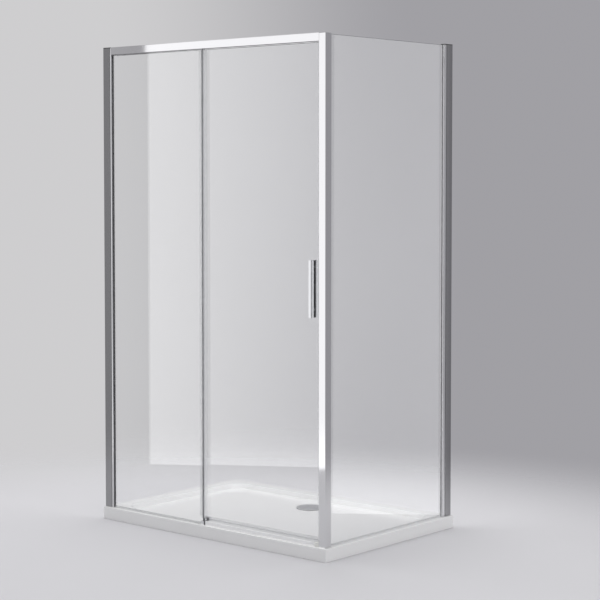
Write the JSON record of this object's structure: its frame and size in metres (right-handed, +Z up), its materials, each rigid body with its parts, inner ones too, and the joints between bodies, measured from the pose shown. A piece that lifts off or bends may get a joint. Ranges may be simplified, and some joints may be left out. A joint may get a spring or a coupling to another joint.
{
  "type": "shower enclosure",
  "caption": "Corner shower enclosure on a low tray: fixed glass and a sliding door along the front, a fixed glass side panel, bright metal frame, slim handle and round waste cover.",
  "frame": {"origin": "middle of the tray's underside, on the floor", "axes": "+X along the front from the left wall to the corner post, +Y from the front to the back wall, +Z up"},
  "size_m": [1.2, 0.8, 1.94],
  "materials": {
    "tray_white": "glossy acrylic",
    "bright_aluminium": "polished",
    "chrome": "polished",
    "clear_glass": "clear, polished edges",
    "clear_seal": "translucent",
    "black_gasket": "matt",
    "dark_plastic": "fine texture",
    "grey_plastic": "fine texture",
    "white_nylon": "satin",
    "steel": "bright"
  },
  "bodies": {
    "enclosure": {"shower_tray": "tray_white", "waste_flange": "white_nylon", "waste_seal": "black_gasket", "wall_channel_left": "bright_aluminium", "wall_channel_right": "bright_aluminium", "jamb_left": "bright_aluminium", "jamb_right": "bright_aluminium", "channel_cap_left": "dark_plastic", "channel_cap_right": "dark_plastic", "jamb_screws_left": "steel", "jamb_screws_right": "steel", "screw_covers_left": "grey_plastic", "screw_covers_right": "grey_plastic", "header_rail": "bright_aluminium", "header_bracket_left": "steel", "header_bracket_right": "steel", "bracket_screws": "steel", "header_end_caps": "grey_plastic", "door_stop_left": "black_gasket", "door_stop_right": "black_gasket", "corner_post": "bright_aluminium", "post_cap": "chrome", "post_magnet_strip": "grey_plastic", "post_gasket": "clear_seal", "fixed_glass": "clear_glass", "fixed_jamb_gasket": "black_gasket", "header_gasket": "clear_seal", "fixed_bottom_seal": "clear_seal", "fixed_edge_seal": "clear_seal", "side_glass": "clear_glass", "side_jamb_gasket": "clear_seal", "side_bottom_seal": "clear_seal", "threshold_rail": "bright_aluminium", "threshold_end_block": "grey_plastic", "door_guide": "chrome", "guide_liner": "dark_plastic", "guide_screw": "steel"},
    "door": {"door_glass": "clear_glass", "hanger_left": "steel", "hanger_right": "steel", "hanger_pads": "dark_plastic", "hanger_bushes": "white_nylon", "hanger_bolts": "steel", "roller_axles": "steel", "handle_outer": "chrome", "handle_inner": "chrome", "handle_gaskets": "black_gasket", "handle_bushes": "white_nylon", "handle_screws": "steel", "door_left_seal": "clear_seal", "door_magnet_seal": "clear_seal", "door_bottom_seal": "clear_seal"},
    "left_wheel": {"roller_left": "white_nylon", "roller_bearing_left": "steel"},
    "right_wheel": {"roller_right": "white_nylon", "roller_bearing_right": "steel"},
    "cover": {"waste_cover": "chrome"}
  },
  "joints": [
    {"name": "door_slide", "type": "slide", "parent": "enclosure", "child": "door", "axis": [-1, 0, 0], "range_m": [0, 0.475]},
    {"name": "left_wheel_spin", "type": "hinge", "parent": "door", "child": "left_wheel", "pos_m": [0.016, -0.348, 1.9191], "axis": [0, 1, 0], "continuous": true},
    {"name": "right_wheel_spin", "type": "hinge", "parent": "door", "child": "right_wheel", "pos_m": [0.463, -0.348, 1.9191], "axis": [0, 1, 0], "continuous": true},
    {"name": "waste_cover_lift", "type": "slide", "parent": "enclosure", "child": "cover", "axis": [0, 0, 1], "range_m": [0, 0.06]}
  ],
  "couplings": [
    {"joint": "left_wheel_spin", "follows": "door_slide", "rad_per_m": -125},
    {"joint": "right_wheel_spin", "follows": "door_slide", "rad_per_m": -125}
  ]
}
